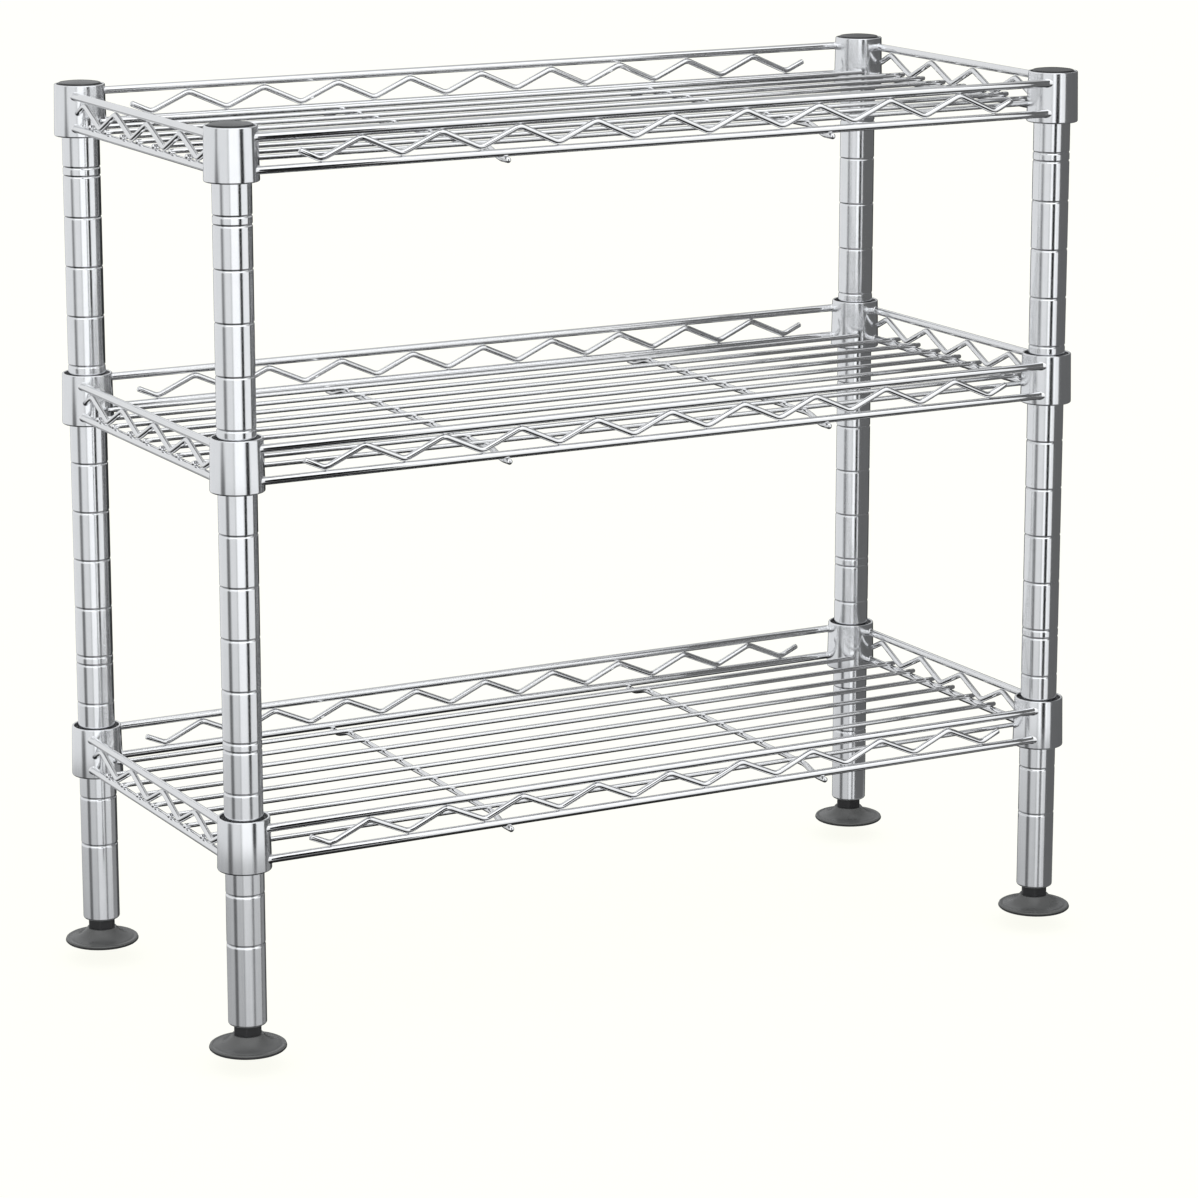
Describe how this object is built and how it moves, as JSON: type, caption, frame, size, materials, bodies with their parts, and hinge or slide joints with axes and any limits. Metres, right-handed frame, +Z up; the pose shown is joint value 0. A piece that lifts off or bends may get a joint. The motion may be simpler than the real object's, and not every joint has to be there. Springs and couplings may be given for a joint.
{
  "type": "tiered shoe rack",
  "caption": "Chrome wire rack with stacked open shelves on grooved tube posts, tapered corner collars and dark levelling feet, for storing shoes.",
  "frame": {"origin": "on the floor under the middle of the rack, level with the undersides of the feet", "axes": "+X to the right along the long side, +Y to the back along the short side, +Z up along the posts"},
  "size_m": [0.5, 0.2264, 0.4527],
  "materials": {
    "chrome": "bright chrome plating on welded wire and tube",
    "grey_plastic": "moulded dark grey plastic with a soft satin sheen",
    "sleeve_plastic": "moulded near-black plastic",
    "zinc_steel": "zinc-plated machined steel"
  },
  "bodies": {
    "posts": {"post_front_left": "chrome", "post_front_right": "chrome", "post_back_left": "chrome", "post_back_right": "chrome", "cap_front_left": "grey_plastic", "cap_front_right": "grey_plastic", "cap_back_left": "grey_plastic", "cap_back_right": "grey_plastic", "insert_front_left": "zinc_steel", "insert_front_right": "zinc_steel", "insert_back_left": "zinc_steel", "insert_back_right": "zinc_steel"},
    "top_shelf": {"top_front_truss": "chrome", "top_back_truss": "chrome", "top_left_end": "chrome", "top_right_end": "chrome", "top_deck": "chrome", "top_sleeve_front_left_outer": "sleeve_plastic", "top_sleeve_front_left_inner": "sleeve_plastic", "top_sleeve_front_right_outer": "sleeve_plastic", "top_sleeve_front_right_inner": "sleeve_plastic", "top_sleeve_back_left_outer": "sleeve_plastic", "top_sleeve_back_left_inner": "sleeve_plastic", "top_sleeve_back_right_outer": "sleeve_plastic", "top_sleeve_back_right_inner": "sleeve_plastic"},
    "middle_shelf": {"middle_front_truss": "chrome", "middle_back_truss": "chrome", "middle_left_end": "chrome", "middle_right_end": "chrome", "middle_deck": "chrome", "middle_sleeve_front_left_outer": "sleeve_plastic", "middle_sleeve_front_left_inner": "sleeve_plastic", "middle_sleeve_front_right_outer": "sleeve_plastic", "middle_sleeve_front_right_inner": "sleeve_plastic", "middle_sleeve_back_left_outer": "sleeve_plastic", "middle_sleeve_back_left_inner": "sleeve_plastic", "middle_sleeve_back_right_outer": "sleeve_plastic", "middle_sleeve_back_right_inner": "sleeve_plastic"},
    "bottom_shelf": {"bottom_front_truss": "chrome", "bottom_back_truss": "chrome", "bottom_left_end": "chrome", "bottom_right_end": "chrome", "bottom_deck": "chrome", "bottom_sleeve_front_left_outer": "sleeve_plastic", "bottom_sleeve_front_left_inner": "sleeve_plastic", "bottom_sleeve_front_right_outer": "sleeve_plastic", "bottom_sleeve_front_right_inner": "sleeve_plastic", "bottom_sleeve_back_left_outer": "sleeve_plastic", "bottom_sleeve_back_left_inner": "sleeve_plastic", "bottom_sleeve_back_right_outer": "sleeve_plastic", "bottom_sleeve_back_right_inner": "sleeve_plastic"},
    "foot_screw_front_left": {"stud_front_left": "zinc_steel"},
    "foot_pad_front_left": {"foot_front_left": "grey_plastic"},
    "foot_screw_front_right": {"stud_front_right": "zinc_steel"},
    "foot_pad_front_right": {"foot_front_right": "grey_plastic"},
    "foot_screw_back_left": {"stud_back_left": "zinc_steel"},
    "foot_pad_back_left": {"foot_back_left": "grey_plastic"},
    "foot_screw_back_right": {"stud_back_right": "zinc_steel"},
    "foot_pad_back_right": {"foot_back_right": "grey_plastic"}
  },
  "joints": [
    {"name": "top_shelf_height", "type": "slide", "parent": "posts", "child": "top_shelf", "axis": [0, 0, 1], "range_m": [-0.0508, 0]},
    {"name": "middle_shelf_height", "type": "slide", "parent": "posts", "child": "middle_shelf", "axis": [0, 0, 1], "range_m": [-0.0762, 0.0508]},
    {"name": "bottom_shelf_height", "type": "slide", "parent": "posts", "child": "bottom_shelf", "axis": [0, 0, 1], "range_m": [-0.0508, 0.0762]},
    {"name": "foot_front_left_travel", "type": "slide", "parent": "posts", "child": "foot_screw_front_left", "axis": [0, 0, -1], "range_m": [0, 0.01]},
    {"name": "foot_front_left_turn", "type": "hinge", "parent": "foot_screw_front_left", "child": "foot_pad_front_left", "pos_m": [-0.231, -0.0942, 0], "axis": [0, 0, -1], "range_deg": [0, 2880]},
    {"name": "foot_front_right_travel", "type": "slide", "parent": "posts", "child": "foot_screw_front_right", "axis": [0, 0, -1], "range_m": [0, 0.01]},
    {"name": "foot_front_right_turn", "type": "hinge", "parent": "foot_screw_front_right", "child": "foot_pad_front_right", "pos_m": [0.231, -0.0942, 0], "axis": [0, 0, -1], "range_deg": [0, 2880]},
    {"name": "foot_back_left_travel", "type": "slide", "parent": "posts", "child": "foot_screw_back_left", "axis": [0, 0, -1], "range_m": [0, 0.01]},
    {"name": "foot_back_left_turn", "type": "hinge", "parent": "foot_screw_back_left", "child": "foot_pad_back_left", "pos_m": [-0.231, 0.0942, 0], "axis": [0, 0, -1], "range_deg": [0, 2880]},
    {"name": "foot_back_right_travel", "type": "slide", "parent": "posts", "child": "foot_screw_back_right", "axis": [0, 0, -1], "range_m": [0, 0.01]},
    {"name": "foot_back_right_turn", "type": "hinge", "parent": "foot_screw_back_right", "child": "foot_pad_back_right", "pos_m": [0.231, 0.0942, 0], "axis": [0, 0, -1], "range_deg": [0, 2880]}
  ],
  "couplings": [
    {"joint": "foot_front_left_travel", "follows": "foot_front_left_turn", "m_per_rad": 0.00019894},
    {"joint": "foot_front_right_travel", "follows": "foot_front_right_turn", "m_per_rad": 0.00019894},
    {"joint": "foot_back_left_travel", "follows": "foot_back_left_turn", "m_per_rad": 0.00019894},
    {"joint": "foot_back_right_travel", "follows": "foot_back_right_turn", "m_per_rad": 0.00019894}
  ]
}
